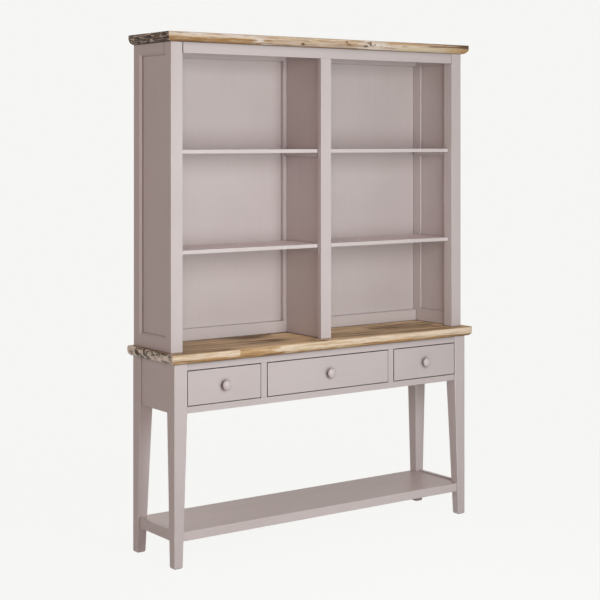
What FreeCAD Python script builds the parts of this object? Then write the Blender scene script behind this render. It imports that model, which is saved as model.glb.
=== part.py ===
import FreeCAD, Part
import os

os.makedirs("parts", exist_ok=True)

# Console table with a hutch on it, in millimetres
# +X is the right end, +Y the back and +Z up
# The origin is on the floor, under the middle of the table top

# Table top
top_width = 1488.0
top_depth = 341.0
table_height = 800.0
top_thickness = 40.0
top_ease = 8.0
top_ovolo = 24.0
top_corner = 12.0

# Legs, square at the top and tapered on their two inner faces
leg_side_setback = 25.0
leg_front_setback = 25.0
leg_back_setback = 1.0
leg_top_size = 56.0
leg_foot_size = 36.0
leg_ease = 2.5
leg_foot_chamfer = 3.5

# Frieze with three drawer openings between the legs
frieze_height = 186.0
frieze_recess = 3.0
frieze_rail_thickness = 22.0
frieze_top_rail_height = 26.0
frieze_bottom_rail_height = 25.0
drawer_stile_width = 27.0
end_opening_width = 334.0
apron_recess = 6.0
apron_thickness = 18.0
tenon_length = 20.0
tenon_shoulder = 6.0
stile_tenon_length = 10.0
board_ease = 1.0

# Drawer runners and kickers, fixed between the front rails and the back apron
runner_height = 20.0
runner_ledge = 12.0
guide_height = 18.0
kicker_ledge = 12.0
running_clearance = 0.3

# Drawers
drawer_gap = 3.0
drawer_front_proud = 1.5
drawer_front_thickness = 20.0
drawer_front_ease = 1.2
drawer_side_thickness = 12.0
drawer_side_height = 120.0
drawer_side_lap = 10.0
drawer_back_thickness = 12.0
drawer_back_inset = 8.0
drawer_back_drop = 10.0
drawer_back_housing = 4.0
drawer_back_space = 10.0
drawer_bottom_thickness = 5.0
drawer_bottom_rise = 8.0
drawer_groove_depth = 6.0

# Turned knobs, as a radius at a distance in front of the drawer
knob_foot_radius = 11.0
knob_neck_radius = 8.0
knob_head_radius = 19.5
knob_face_radius = 14.5
knob_foot_length = 2.0
knob_neck_length = 6.5
knob_head_length = 15.5
knob_face_length = 22.5
knob_length = 26.5
knob_waist_share = 0.15
knob_flare_share = 0.18
knob_rim_share = -0.105
screw_radius = 2.0
screw_head_radius = 4.5
screw_head_height = 2.5
screw_clearance = 0.1
knob_screw_reach = 16.0

# Lower shelf between the legs
low_shelf_top = 133.0
low_shelf_thickness = 35.0
low_shelf_recess = 6.0
end_rail_thickness = 14.5
end_rail_rise = 5.0
low_shelf_ease = 1.5

# Hutch carcass
overall_height = 2000.0
hutch_side_setback = 25.0
hutch_back_setback = 7.0
hutch_front_setback = 50.5
post_size = 51.0
post_rebate = 9.0
post_ease = 2.0
side_thickness = 30.0
side_stile_width = 52.0
side_bottom_rail_height = 55.0
side_top_rail_height = 45.0
side_bevel = 8.5
side_panel_thickness = 11.5
side_panel_recess = 11.0
panel_tongue = 6.0
hutch_top_rail_height = 41.0
hutch_top_rail_thickness = 20.0
joint_chamfer = 1.5
centre_post_width = 50.0
centre_post_thickness = 22.0
divider_thickness = 18.0
back_frame_thickness = 18.0
back_panel_thickness = 4.5
back_bottom_rail_height = 47.0
back_top_rail_height = 42.0
back_stile_width = 52.0

# Hutch shelves on cleats
shelf_thickness = 15.0
shelf_front_setback = 24.0
shelf_ease = 1.0
lower_shelf_top = 1179.0
upper_shelf_top = 1559.0
cleat_height = 16.0
cleat_width = 13.0
cleat_front_setback = 8.0

# Cornice on the hutch
cornice_thickness = 37.0
cornice_side_overhang = 25.0
cornice_front_overhang = 25.5
cornice_back_inset = 3.0
cornice_ease = 3.0
cornice_ovolo = 25.0
cornice_corner = 4.0

# Dowels from the table top into the hutch, and screws up into the table top
dowel_radius = 5.0
dowel_in_top = 18.0
dowel_in_hutch = 25.0
dowel_clearance = 0.1
top_screw_reach = 20.0
top_screw_front_space = 11.45
top_screw_back_space = 7.45

cut_overrun = 5.0

# Places worked out from the sizes above
table_back = top_depth / 2
table_front = -table_back
top_half = top_width / 2
frieze_top = table_height - top_thickness
frieze_bottom = frieze_top - frieze_height
leg_outer = top_half - leg_side_setback
leg_inner = leg_outer - leg_top_size
leg_front = table_front + leg_front_setback
leg_back = table_back - leg_back_setback
frieze_front = leg_front + frieze_recess
frieze_rail_back = frieze_front + frieze_rail_thickness
apron_back_face = leg_back - apron_recess
apron_inner_face = apron_back_face - apron_thickness
apron_outer = leg_outer - apron_recess
apron_inner = apron_outer - apron_thickness
opening_low = frieze_bottom + frieze_bottom_rail_height
opening_high = frieze_top - frieze_top_rail_height
stile_outer = leg_inner - end_opening_width
stile_inner = stile_outer - drawer_stile_width

hutch_outer = top_half - hutch_side_setback
hutch_back = table_back - hutch_back_setback
hutch_front = table_front + hutch_front_setback
hutch_top = overall_height - cornice_thickness
post_inner = hutch_outer - post_size
post_back = hutch_front + post_size
side_front = post_back - post_rebate
side_inner = hutch_outer - side_thickness
side_stile_front = hutch_back - side_stile_width
panel_outer = hutch_outer - side_panel_recess
panel_inner = panel_outer - side_panel_thickness
side_window_low = table_height + side_bottom_rail_height
side_window_high = hutch_top - side_top_rail_height
back_frame_back = hutch_back - back_panel_thickness
back_frame_front = back_frame_back - back_frame_thickness
divider_half = divider_thickness / 2
centre_post_back = hutch_front + centre_post_thickness
top_rail_bottom = hutch_top - hutch_top_rail_height

sides = {"left": -1, "right": 1}


def span(side, inner, outer):
    """Range along X on one side of the middle, from two distances to the middle."""
    return tuple(sorted((side * inner, side * outer)))


def box(x, y, z):
    """Box between the low and high ends of three ranges."""
    corner = FreeCAD.Vector(x[0], y[0], z[0])
    return Part.makeBox(x[1] - x[0], y[1] - y[0], z[1] - z[0], corner)


def edges_along(solid, axis, test=None):
    """Straight edges parallel to an axis, where the test holds at their middle."""
    directions = {"X": FreeCAD.Vector(1, 0, 0), "Y": FreeCAD.Vector(0, 1, 0), "Z": FreeCAD.Vector(0, 0, 1)}
    found = []
    for edge in solid.Edges:
        run = edge.Vertexes[-1].Point - edge.Vertexes[0].Point
        if run.Length == 0 or run.cross(directions[axis]).Length > run.Length / 1000:
            continue
        if test is None or test(edge.CenterOfMass):
            found.append(edge)
    return found


def eased(solid, axes, radius):
    """Round every edge of a board that runs along the given axes."""
    edges = [edge for axis in axes for edge in edges_along(solid, axis)]
    return solid.makeFillet(radius, edges)


def eased_box(x, y, z, axes, radius):
    """Board with its long edges eased."""
    return eased(box(x, y, z), axes, radius)


def with_tenons(board, ranges, axis, length, shoulder):
    """Add a stub tenon to both ends of a board, set in from its faces by a shoulder."""
    for end, outward in enumerate((-1, 1)):
        tenon = [(low + shoulder, high - shoulder) for low, high in ranges]
        face = ranges[axis][end]
        tenon[axis] = tuple(sorted((face, face + outward * length)))
        board = board.fuse(box(*tenon))
    return board.removeSplitter()


def moulded_board(x, y, z, ease, ovolo, corner):
    """Board with an eased top edge over an ovolo, on its front and both ends."""
    def at_front(point):
        return point.y < (y[0] + y[1]) / 2

    def at_top(point):
        return point.z > (z[0] + z[1]) / 2

    blank = box(x, y, z)
    low_edges = edges_along(blank, "X", lambda point: at_front(point) and not at_top(point))
    high_edges = edges_along(blank, "X", lambda point: at_front(point) and at_top(point))
    low_ends = edges_along(blank, "Y", lambda point: not at_top(point))
    high_ends = edges_along(blank, "Y", at_top)
    corners = edges_along(blank, "Z", at_front)
    board = blank.makeFillet(ovolo, low_edges)
    board = board.common(blank.makeFillet(ovolo, low_ends))
    board = board.common(blank.makeFillet(ease, high_edges))
    board = board.common(blank.makeFillet(ease, high_ends))
    return board.common(blank.makeFillet(corner, corners))


def cylinder(radius, start, direction, length):
    """Round bar from a point along a unit direction."""
    return Part.makeCylinder(radius, length, FreeCAD.Vector(*start), FreeCAD.Vector(*direction))


def rounded_square(x, y, z, radius):
    """Closed outline of a level rectangle with rounded corners."""
    plate = box(x, y, (z, z + radius))
    plate = plate.makeFillet(radius, edges_along(plate, "Z"))
    for face in plate.Faces:
        if face.BoundBox.ZMax - z < radius / 2:
            return face.OuterWire


# Table
def table_top():
    """Wooden top with its moulded front and ends."""
    z = (frieze_top, table_height)
    board = moulded_board((-top_half, top_half), (table_front, table_back), z, top_ease, top_ovolo, top_corner)
    for x, y in hutch_dowel_places():
        board = board.cut(hutch_dowel(x, y, dowel_clearance))
    for x, y in top_screw_places():
        board = board.cut(top_screw(x, y, screw_clearance))
    return board


def leg(side, at_front):
    """Leg whose outer faces are upright and whose two inner faces taper to the foot."""
    def section(z, size, inset):
        x = span(side, leg_outer - inset, leg_outer - size + inset)
        if at_front:
            y = (leg_front + inset, leg_front + size - inset)
        else:
            y = (leg_back - size + inset, leg_back - inset)
        return rounded_square(x, y, z, leg_ease)

    chamfer_share = leg_foot_chamfer / frieze_bottom
    size_over_chamfer = leg_foot_size + (leg_top_size - leg_foot_size) * chamfer_share
    sections = [
        section(0, leg_foot_size, leg_foot_chamfer),
        section(leg_foot_chamfer, size_over_chamfer, 0),
        section(frieze_bottom, leg_top_size, 0),
        section(frieze_top, leg_top_size, 0),
    ]
    return Part.makeLoft(sections, True, True)


def legs():
    """The four legs by name, with no mortises yet."""
    made = {}
    for name, side in sides.items():
        made["leg_front_" + name] = leg(side, True)
        made["leg_back_" + name] = leg(side, False)
    return made


def frieze_rail(z):
    """Rail across the front between the legs, over or under the drawers."""
    ranges = [(-leg_inner, leg_inner), (frieze_front, frieze_rail_back), z]
    rail = eased_box(*ranges, "X", board_ease)
    return with_tenons(rail, ranges, 0, tenon_length, tenon_shoulder)


def drawer_stile(side):
    """Short upright between two drawers, tenoned into both rails."""
    x = span(side, stile_inner, stile_outer)
    ranges = [x, (frieze_front, frieze_rail_back), (opening_low, opening_high)]
    stile = eased_box(*ranges, "Z", board_ease)
    return with_tenons(stile, ranges, 2, stile_tenon_length, tenon_shoulder)


def side_apron(side):
    """Board across the end of the table, between the front and back legs."""
    x = span(side, apron_inner, apron_outer)
    ranges = [x, (leg_front + leg_top_size, leg_back - leg_top_size), (frieze_bottom, frieze_top)]
    apron = eased_box(*ranges, "Y", board_ease)
    return with_tenons(apron, ranges, 1, tenon_length, tenon_shoulder)


def back_apron():
    """Board across the back between the legs."""
    ranges = [(-leg_inner, leg_inner), (apron_inner_face, apron_back_face), (frieze_bottom, frieze_top)]
    apron = eased_box(*ranges, "X", board_ease)
    return with_tenons(apron, ranges, 0, tenon_length, tenon_shoulder)


def runner_length():
    """Range in depth between the front rails and the back apron."""
    return (frieze_rail_back, apron_inner_face)


def drawer_runners(leg_solids):
    """Bearers under the drawer sides, each with a guide strip beside or between drawers."""
    bearer_z = (opening_low - runner_height, opening_low)
    guide_z = (opening_low, opening_low + guide_height)
    runners = []
    for side in sides.values():
        at_end = box(span(side, leg_inner - runner_ledge, apron_inner), runner_length(), bearer_z)
        guide = box(span(side, leg_inner, apron_inner), runner_length(), guide_z)
        at_end = at_end.fuse(guide).removeSplitter()
        for solid in leg_solids.values():
            at_end = at_end.cut(solid)
        bearer = box(span(side, stile_inner - runner_ledge, stile_outer + runner_ledge), runner_length(), bearer_z)
        strip = box(span(side, stile_inner, stile_outer), runner_length(), guide_z)
        runners.append(at_end)
        runners.append(bearer.fuse(strip).removeSplitter())
    return runners


def kicker_ranges():
    """Ranges along X of the kickers over the drawer sides, at the ends and over the stiles."""
    ranges = []
    for side in sides.values():
        ranges.append(span(side, leg_inner - kicker_ledge, apron_inner))
        ranges.append(span(side, stile_inner - kicker_ledge, stile_outer + kicker_ledge))
    return ranges


def drawer_kickers(leg_solids):
    """Bars under the table top that stop an open drawer from tipping."""
    kickers = []
    for x in kicker_ranges():
        kicker = box(x, runner_length(), (opening_high, frieze_top))
        for solid in leg_solids.values():
            kicker = kicker.cut(solid)
        for place in top_screw_places():
            kicker = kicker.cut(top_screw(*place, screw_clearance))
        kickers.append(kicker)
    return kickers


def lower_shelf(leg_solids):
    """Thick shelf board, notched round the tapered legs."""
    end = leg_outer - low_shelf_recess - end_rail_thickness
    y = (leg_front + low_shelf_recess, leg_back - low_shelf_recess)
    board = eased_box((-end, end), y, (low_shelf_top - low_shelf_thickness, low_shelf_top), "X", low_shelf_ease)
    for solid in leg_solids.values():
        board = board.cut(solid)
    return board


def lower_end_rail(side, leg_solids):
    """Rail between the legs at one end of the lower shelf, standing a little above it."""
    outer = leg_outer - low_shelf_recess
    z = (low_shelf_top - low_shelf_thickness, low_shelf_top + end_rail_rise)
    rail = eased_box(span(side, outer - end_rail_thickness, outer), (leg_front, leg_back), z, "Y", board_ease)
    for solid in leg_solids.values():
        rail = rail.cut(solid)
    return rail


# Drawers
def drawer_ranges():
    """Range along X of each drawer front, by the drawer's place."""
    end = (stile_outer + drawer_gap, leg_inner - drawer_gap)
    return {
        "left": span(-1, *end),
        "middle": (-stile_inner + drawer_gap, stile_inner - drawer_gap),
        "right": span(1, *end),
    }


drawer_front_face = frieze_front - drawer_front_proud
drawer_front_back = drawer_front_face + drawer_front_thickness
drawer_box_back = apron_inner_face - drawer_back_space
drawer_side_low = opening_low + running_clearance
drawer_side_high = drawer_side_low + drawer_side_height
drawer_bottom_low = drawer_side_low + drawer_bottom_rise
drawer_bottom_high = drawer_bottom_low + drawer_bottom_thickness
drawer_middle_height = (opening_low + opening_high) / 2


def drawer_sides(x):
    """The two side boards of a drawer, lapped into the ends of its front."""
    y = (drawer_front_back - drawer_side_lap, drawer_box_back)
    z = (drawer_side_low, drawer_side_high)
    left = box((x[0], x[0] + drawer_side_thickness), y, z)
    right = box((x[1] - drawer_side_thickness, x[1]), y, z)
    return [left, right]


def drawer_back(x):
    """Back board of a drawer, housed in both sides over the bottom."""
    inset = drawer_side_thickness - drawer_back_housing
    high = drawer_box_back - drawer_back_inset
    y = (high - drawer_back_thickness, high)
    z = (drawer_bottom_high, drawer_side_high - drawer_back_drop)
    return box((x[0] + inset, x[1] - inset), y, z)


def drawer_bottom(x):
    """Thin bottom board, held in grooves in the sides and the front."""
    inset = drawer_side_thickness - drawer_groove_depth
    y = (drawer_front_back - drawer_groove_depth, drawer_box_back - drawer_back_inset)
    return box((x[0] + inset, x[1] - inset), y, (drawer_bottom_low, drawer_bottom_high))


def drawer_front(x):
    """Drawer front with its edges eased, before the joints are cut."""
    y = (drawer_front_face, drawer_front_back)
    front = box(x, y, (opening_low + drawer_gap, opening_high - drawer_gap))
    edges = [edge for edge in front.Edges if edge.BoundBox.YMax < drawer_front_face + drawer_front_ease]
    return front.makeFillet(drawer_front_ease, edges)


def knob(middle):
    """Turned knob with a collar, a waist and a low domed head."""
    def point(radius, length):
        return FreeCAD.Vector(middle + radius, drawer_front_face - length, drawer_middle_height)

    def curve(start, end, bulge_share):
        """Arc whose middle stands off its chord by a share of the chord's length."""
        (radius, length), (end_radius, end_length) = start, end
        middle_radius = (radius + end_radius) / 2 - bulge_share * (end_length - length)
        middle_length = (length + end_length) / 2 + bulge_share * (end_radius - radius)
        return Part.Arc(point(*start), point(middle_radius, middle_length), point(*end)).toShape()

    collar = (knob_foot_radius, knob_foot_length)
    waist = (knob_neck_radius, knob_neck_length)
    rim = (knob_head_radius, knob_head_length)
    face = (knob_face_radius, knob_face_length)
    tip = (0, knob_length)
    dome_height = knob_length - knob_face_length
    dome_radius = (knob_face_radius ** 2 + dome_height ** 2) / (2 * dome_height)
    crown_radius = knob_face_radius / 2
    crown = (crown_radius, knob_length - dome_radius + (dome_radius ** 2 - crown_radius ** 2) ** 0.5)
    outline = [
        Part.makeLine(point(0, 0), point(knob_foot_radius, 0)),
        Part.makeLine(point(knob_foot_radius, 0), point(*collar)),
        curve(collar, waist, knob_waist_share),
        curve(waist, rim, knob_flare_share),
        curve(rim, face, knob_rim_share),
        Part.Arc(point(*face), point(*crown), point(*tip)).toShape(),
        Part.makeLine(point(*tip), point(0, 0)),
    ]
    profile = Part.Face(Part.Wire(outline))
    return profile.revolve(point(0, 0), FreeCAD.Vector(0, 1, 0), 360)


def knob_screw(middle, clearance):
    """Screw from inside the drawer through its front into the knob."""
    start = (middle, drawer_front_back + clearance, drawer_middle_height)
    length = drawer_front_thickness + knob_screw_reach
    shank = cylinder(screw_radius + clearance, start, (0, -1, 0), length + 2 * clearance)
    head = cylinder(screw_head_radius, (middle, drawer_front_back, drawer_middle_height), (0, 1, 0), screw_head_height)
    if clearance:
        return shank
    return shank.fuse(head).removeSplitter()


def drawer(name, x):
    """All the pieces of one drawer, by node name."""
    middle = (x[0] + x[1]) / 2
    boards = drawer_sides(x)
    back = drawer_back(x)
    bottom = drawer_bottom(x)
    hole = knob_screw(middle, screw_clearance)
    front = drawer_front(x)
    for other in boards + [bottom, hole]:
        front = front.cut(other)
    boards = [board.cut(back).cut(bottom) for board in boards]
    return {
        name + "_front": [front],
        name + "_sides": boards,
        name + "_back": [back],
        name + "_bottom": [bottom],
        name + "_knob": [knob(middle).cut(hole)],
        name + "_knob_screw": [knob_screw(middle, 0)],
    }


# Hutch
def hutch_post(side):
    """Front corner post, rebated at the back for the side frame."""
    z = (table_height, hutch_top)
    post = eased_box(span(side, post_inner, hutch_outer), (hutch_front, post_back), z, "Z", post_ease)
    x = span(side, side_inner, hutch_outer + cut_overrun)
    rebate = box(x, (side_front, post_back + cut_overrun), (z[0] - cut_overrun, z[1] + cut_overrun))
    return post.cut(rebate)


def side_window(side):
    """Space inside the side frame, flaring to the outer face over, under and behind the panel."""
    def outline(distance, flare):
        x = side * distance
        back = side_stile_front + flare
        low = side_window_low - flare
        high = side_window_high + flare
        corners = [(side_front, low), (back, low), (back, high), (side_front, high), (side_front, low)]
        return Part.makePolygon([FreeCAD.Vector(x, y, z) for y, z in corners])

    straight = box(
        span(side, side_inner - cut_overrun, hutch_outer + cut_overrun),
        (side_front, side_stile_front),
        (side_window_low, side_window_high),
    )
    flare = Part.makeLoft([outline(hutch_outer - side_bevel, 0), outline(hutch_outer, side_bevel)], True, True)
    return straight.fuse(flare)


def side_panel(side):
    """Thin panel held in grooves all round."""
    x = span(side, panel_inner, panel_outer)
    y = (side_front - panel_tongue, side_stile_front + panel_tongue)
    return box(x, y, (side_window_low - panel_tongue, side_window_high + panel_tongue))


def side_stile(side):
    """Upright at the back of the hutch side."""
    x = span(side, side_inner, hutch_outer)
    z = (table_height, hutch_top)
    stile = eased_box(x, (side_stile_front, hutch_back), z, "Z", board_ease)
    return stile.cut(side_window(side)).cut(side_panel(side))


def side_rail(side, z):
    """Rail of the hutch side, between the post and the stile."""
    rail = box(span(side, side_inner, hutch_outer), (side_front, side_stile_front), z)
    return rail.cut(side_window(side)).cut(side_panel(side))


def hutch_top_rail():
    """Rail over the front openings, with a fine V at its ends where it meets the posts."""
    x = (-post_inner, post_inner)
    y = (hutch_front, hutch_front + hutch_top_rail_thickness)
    rail = box(x, y, (top_rail_bottom, hutch_top))
    ends = edges_along(rail, "Z", lambda point: point.y < (y[0] + y[1]) / 2)
    rail = rail.makeChamfer(joint_chamfer, ends)
    low = edges_along(rail, "X", lambda point: point.z < (top_rail_bottom + hutch_top) / 2)
    return rail.makeFillet(board_ease, low)


def centre_post():
    """Facing on the front edge of the divider, under the top rail."""
    half = centre_post_width / 2
    y = (hutch_front, centre_post_back)
    return eased_box((-half, half), y, (table_height, top_rail_bottom), "Z", board_ease)


def hutch_divider():
    """Upright board between the two halves of the hutch."""
    y = (centre_post_back, back_frame_front)
    return box((-divider_half, divider_half), y, (table_height, hutch_top))


def back_rail(z):
    """Rail of the back frame, between the hutch sides."""
    return box((-side_inner, side_inner), (back_frame_front, back_frame_back), z)


def back_centre_stile():
    """Upright in the middle of the back frame, behind the divider."""
    half = back_stile_width / 2
    z = (table_height + back_bottom_rail_height, hutch_top - back_top_rail_height)
    return box((-half, half), (back_frame_front, back_frame_back), z)


def back_panel():
    """Thin board over the whole back of the hutch."""
    return box((-side_inner, side_inner), (back_frame_back, hutch_back), (table_height, hutch_top))


def hutch_shelf(side, top, side_solids):
    """Shelf from the divider to the side, notched round the post and the stile."""
    y = (hutch_front + shelf_front_setback, back_frame_front)
    board = box(span(side, divider_half, panel_inner), y, (top - shelf_thickness, top))
    front = edges_along(board, "X", lambda point: point.y < (y[0] + y[1]) / 2)
    board = board.makeFillet(shelf_ease, front)
    for solid in side_solids:
        board = board.cut(solid)
    return board


def shelf_cleats(side, top, side_solids):
    """Bars under one shelf, on the divider and on the hutch side."""
    z = (top - shelf_thickness - cleat_height, top - shelf_thickness)
    y = (hutch_front + shelf_front_setback + cleat_front_setback, back_frame_front)
    at_divider = box(span(side, divider_half, divider_half + cleat_width), y, z)
    at_side = box(span(side, side_inner - cleat_width, panel_inner), (post_back, back_frame_front), z)
    for solid in side_solids:
        at_side = at_side.cut(solid)
    return [at_divider, at_side]


def cornice():
    """Wooden cornice board, moulded on its front and ends."""
    half = hutch_outer + cornice_side_overhang
    y = (hutch_front - cornice_front_overhang, hutch_back - cornice_back_inset)
    z = (hutch_top, overall_height)
    return moulded_board((-half, half), y, z, cornice_ease, cornice_ovolo, cornice_corner)


# Fixings
def hutch_dowel_places():
    """Plan positions of the dowels, under each post and each back stile."""
    places = []
    for side in sides.values():
        places.append((side * (post_inner + side_inner) / 2, (hutch_front + side_front) / 2))
        places.append((side * (side_inner + hutch_outer) / 2, (side_stile_front + hutch_back) / 2))
    return places


def hutch_dowel(x, y, clearance):
    """Dowel through the joint between the table top and the hutch."""
    start = (x, y, table_height - dowel_in_top - clearance)
    length = dowel_in_top + dowel_in_hutch + 2 * clearance
    return cylinder(dowel_radius + clearance, start, (0, 0, 1), length)


def top_screw_places():
    """Plan positions of the screws through each kicker into the table top, between the legs."""
    front = leg_front + leg_top_size + top_screw_front_space
    back = leg_back - leg_top_size - top_screw_back_space
    places = []
    for low, high in kicker_ranges():
        for y in (front, back):
            places.append(((low + high) / 2, y))
    return places


def top_screw(x, y, clearance):
    """Screw from under a kicker up into the table top, with its head sunk in."""
    start = opening_high
    length = frieze_top_rail_height + top_screw_reach + clearance
    shank = cylinder(screw_radius + clearance, (x, y, start), (0, 0, 1), length)
    head = cylinder(screw_head_radius + clearance, (x, y, start), (0, 0, 1), screw_head_height + clearance)
    return shank.fuse(head).removeSplitter()


# Whole object
def console_table():
    """Every fixed piece, as lists of solids by node name."""
    leg_solids = legs()
    top_rail = frieze_rail((opening_high, frieze_top))
    bottom_rail = frieze_rail((frieze_bottom, opening_low))
    stiles = {name: drawer_stile(side) for name, side in sides.items()}
    aprons = {name: side_apron(side) for name, side in sides.items()}
    apron_back = back_apron()
    pieces = {
        "table_top": [table_top()],
        "lower_shelf_board": [lower_shelf(leg_solids)],
        "drawer_runners": drawer_runners(leg_solids),
        "drawer_kickers": drawer_kickers(leg_solids),
        "apron_back": [apron_back],
    }
    for name, side in sides.items():
        pieces["drawer_stile_" + name] = [stiles[name]]
        pieces["apron_" + name] = [aprons[name]]
        pieces["lower_shelf_end_rail_" + name] = [lower_end_rail(side, leg_solids)]
    for name, solid in leg_solids.items():
        for rail in [top_rail, bottom_rail, apron_back] + list(aprons.values()):
            solid = solid.cut(rail)
        pieces[name] = [solid]
    for stile in stiles.values():
        top_rail = top_rail.cut(stile)
        bottom_rail = bottom_rail.cut(stile)
    pieces["frieze_top_rail"] = [top_rail]
    pieces["frieze_bottom_rail"] = [bottom_rail]
    pieces["top_fixing_screws"] = [top_screw(x, y, 0) for x, y in top_screw_places()]
    return pieces


def hutch():
    """Every piece of the hutch, as lists of solids by node name."""
    bottom_rail = (table_height, side_window_low)
    top_rail = (side_window_high, hutch_top)
    front_rail = hutch_top_rail()
    dowel_holes = [hutch_dowel(x, y, dowel_clearance) for x, y in hutch_dowel_places()]
    pieces = {
        "cornice": [cornice()],
        "hutch_top_rail": [front_rail],
        "centre_post": [centre_post()],
        "hutch_divider": [hutch_divider().cut(front_rail)],
        "back_bottom_rail": [back_rail((table_height, table_height + back_bottom_rail_height))],
        "back_top_rail": [back_rail((hutch_top - back_top_rail_height, hutch_top))],
        "back_centre_stile": [back_centre_stile()],
        "back_panel": [back_panel()],
        "hutch_dowels": [hutch_dowel(x, y, 0) for x, y in hutch_dowel_places()],
    }
    cleats = []
    for name, side in sides.items():
        panel = side_panel(side)
        post = hutch_post(side).cut(panel)
        stile = side_stile(side)
        for top, level in ((upper_shelf_top, "upper"), (lower_shelf_top, "lower")):
            pieces["shelf_" + level + "_" + name] = [hutch_shelf(side, top, [post, stile])]
            cleats.extend(shelf_cleats(side, top, [post, stile]))
        for hole in dowel_holes:
            post = post.cut(hole)
            stile = stile.cut(hole)
        pieces["hutch_post_" + name] = [post]
        pieces["side_stile_" + name] = [stile]
        pieces["side_panel_" + name] = [panel]
        pieces["side_bottom_rail_" + name] = [side_rail(side, bottom_rail)]
        pieces["side_top_rail_" + name] = [side_rail(side, top_rail)]
    pieces["shelf_cleats"] = cleats
    return pieces


def write(node, solids):
    """Write one node's solids to its own file."""
    shape = solids[0] if len(solids) == 1 else Part.makeCompound(solids)
    shape.exportStep("parts/" + node + ".step")


pieces = console_table()
pieces.update(hutch())
for place, x in drawer_ranges().items():
    pieces.update(drawer("drawer_" + place, x))
for node, solids in pieces.items():
    write(node, solids)
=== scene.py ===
import math

import bmesh
import bpy
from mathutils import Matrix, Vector, noise


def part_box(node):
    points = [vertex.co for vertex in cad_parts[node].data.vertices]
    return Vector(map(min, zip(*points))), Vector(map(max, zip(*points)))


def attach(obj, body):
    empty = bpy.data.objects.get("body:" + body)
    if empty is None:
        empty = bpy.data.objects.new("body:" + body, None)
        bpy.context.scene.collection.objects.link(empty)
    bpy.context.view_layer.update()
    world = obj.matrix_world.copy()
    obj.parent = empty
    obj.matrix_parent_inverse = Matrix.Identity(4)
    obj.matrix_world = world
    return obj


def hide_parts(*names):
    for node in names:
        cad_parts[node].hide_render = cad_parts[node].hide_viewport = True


bl_info = {
    "name": "Console table with hutch",
    "version": (1, 0, 0),
    "blender": (4, 5, 0),
    "location": "3D View > Sidebar > Console table",
    "description": "Paint, hardwood, drawers, fixings and studio for a console table with hutch",
    "category": "Object",
}

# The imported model, which every piece is placed by
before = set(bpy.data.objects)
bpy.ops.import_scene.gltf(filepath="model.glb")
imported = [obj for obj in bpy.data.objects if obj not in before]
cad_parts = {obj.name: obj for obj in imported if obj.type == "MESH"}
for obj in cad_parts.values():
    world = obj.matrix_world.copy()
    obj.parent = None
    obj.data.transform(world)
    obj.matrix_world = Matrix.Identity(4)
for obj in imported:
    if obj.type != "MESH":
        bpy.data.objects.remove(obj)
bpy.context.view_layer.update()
main_body = "console_with_hutch"
drawers = ("drawer_left", "drawer_middle", "drawer_right")


def both(*names):
    """Names of the left and the right one of each pair of nodes."""
    return [name + side for name in names for side in ("_left", "_right")]


# Painted boards by the way their grain runs
table_upright = both("leg_front", "leg_back")
table_lengthwise = ["apron_back"]
table_crosswise = both("apron", "lower_shelf_end_rail")
frieze_boards = ["frieze_top_rail", "frieze_bottom_rail", *both("drawer_stile")]
hutch_upright = [
    "centre_post", "hutch_divider", "back_centre_stile", "back_panel",
    *both("hutch_post", "side_stile", "side_panel"),
]
hutch_lengthwise = ["back_bottom_rail", "back_top_rail"]
hutch_crosswise = both("side_top_rail", "side_bottom_rail")
hutch_shelf_boards = both("shelf_upper", "shelf_lower")


# Settings
class PaintSettings(bpy.types.PropertyGroup):
    """The painted finish."""

    colour: bpy.props.FloatVectorProperty(
        name="Paint colour", description="Colour of the painted boards and knobs",
        subtype="COLOR", size=3, min=0, max=1, default=(0.592, 0.524, 0.506))
    worn_colour: bpy.props.FloatVectorProperty(
        name="Brush mark colour", description="Colour where the brush left the paint thin",
        subtype="COLOR", size=3, min=0, max=1, default=(0.572, 0.504, 0.486))
    # Lighter than the paint: painted light on the hutch shelves
    shelf_lit_colour: bpy.props.FloatVectorProperty(
        name="Shelf colour", description="Colour of the painted hutch shelves",
        subtype="COLOR", size=3, min=0, max=1, default=(0.66, 0.59, 0.57))
    # Near black: painted shade in the open joints and in the gaps round the drawers
    gap_shade_colour: bpy.props.FloatVectorProperty(
        name="Joint colour", description="Colour in the open joints and in the gaps round the drawers",
        subtype="COLOR", size=3, min=0, max=1, default=(0.05, 0.04, 0.035))
    # Lighter than the paint: painted highlight on the slanted edges round the side panels
    edge_colour: bpy.props.FloatVectorProperty(
        name="Slanted edges", description="Colour of the slanted edges round the side panels",
        subtype="COLOR", size=3, min=0, max=1, default=(0.675, 0.625, 0.612))
    softness: bpy.props.FloatProperty(
        name="Edge softness", description="Width of the soft edge that the paint leaves on every board",
        subtype="DISTANCE", unit="LENGTH", min=0, max=0.003, default=0.0009)
    sheen_roughness: bpy.props.FloatProperty(
        name="Roughness", description="Roughness of the satin paint",
        subtype="FACTOR", min=0, max=1, default=0.42)
    brush_depth: bpy.props.FloatProperty(
        name="Brush mark depth", description="Depth of the brush marks in the paint",
        subtype="DISTANCE", unit="LENGTH", min=0, max=0.001, default=0.00003)


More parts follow.
